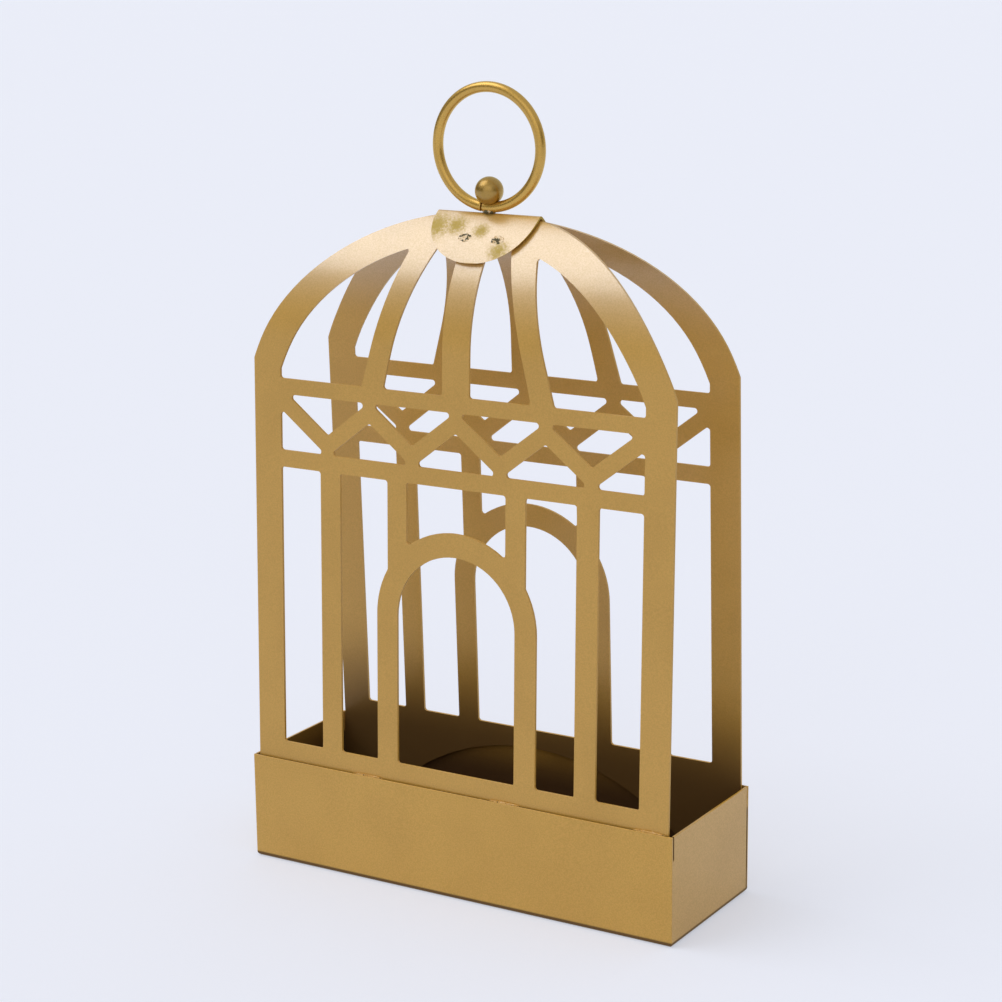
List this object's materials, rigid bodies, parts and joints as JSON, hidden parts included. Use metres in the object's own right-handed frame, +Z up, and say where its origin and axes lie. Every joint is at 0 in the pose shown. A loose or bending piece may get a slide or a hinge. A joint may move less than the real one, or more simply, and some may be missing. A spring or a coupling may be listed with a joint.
{
  "type": "bird-cage card stand",
  "caption": "Flat bird-cage stand of gold-painted sheet metal: two pierced grilles in a folded tray curve to a capped ridge with a carrying ring and ball, holding cards between them.",
  "frame": {"origin": "on the surface it stands on, under the middle of the tray", "axes": "+X along the front to the right, +Y from the front panel to the back panel, +Z up to the ring"},
  "size_m": [0.14, 0.0472, 0.2307],
  "materials": {
    "tray_paint": "satin metallic gold spray paint",
    "panel_paint": "satin metallic gold spray paint",
    "cap_paint": "satin metallic gold spray paint",
    "ring_paint": "satin metallic gold spray paint",
    "ball_paint": "satin metallic gold spray paint",
    "weld_paint": "satin metallic gold spray paint"
  },
  "bodies": {
    "root": {"base_tray": "tray_paint", "front_panel": "panel_paint", "back_panel": "panel_paint", "ridge_cap": "cap_paint", "carry_ring": "ring_paint", "finial_ball": "ball_paint", "ring_weld": "weld_paint", "front_seam_welds": "weld_paint", "back_seam_welds": "weld_paint", "cap_welds": "weld_paint"}
  },
  "joints": []
}
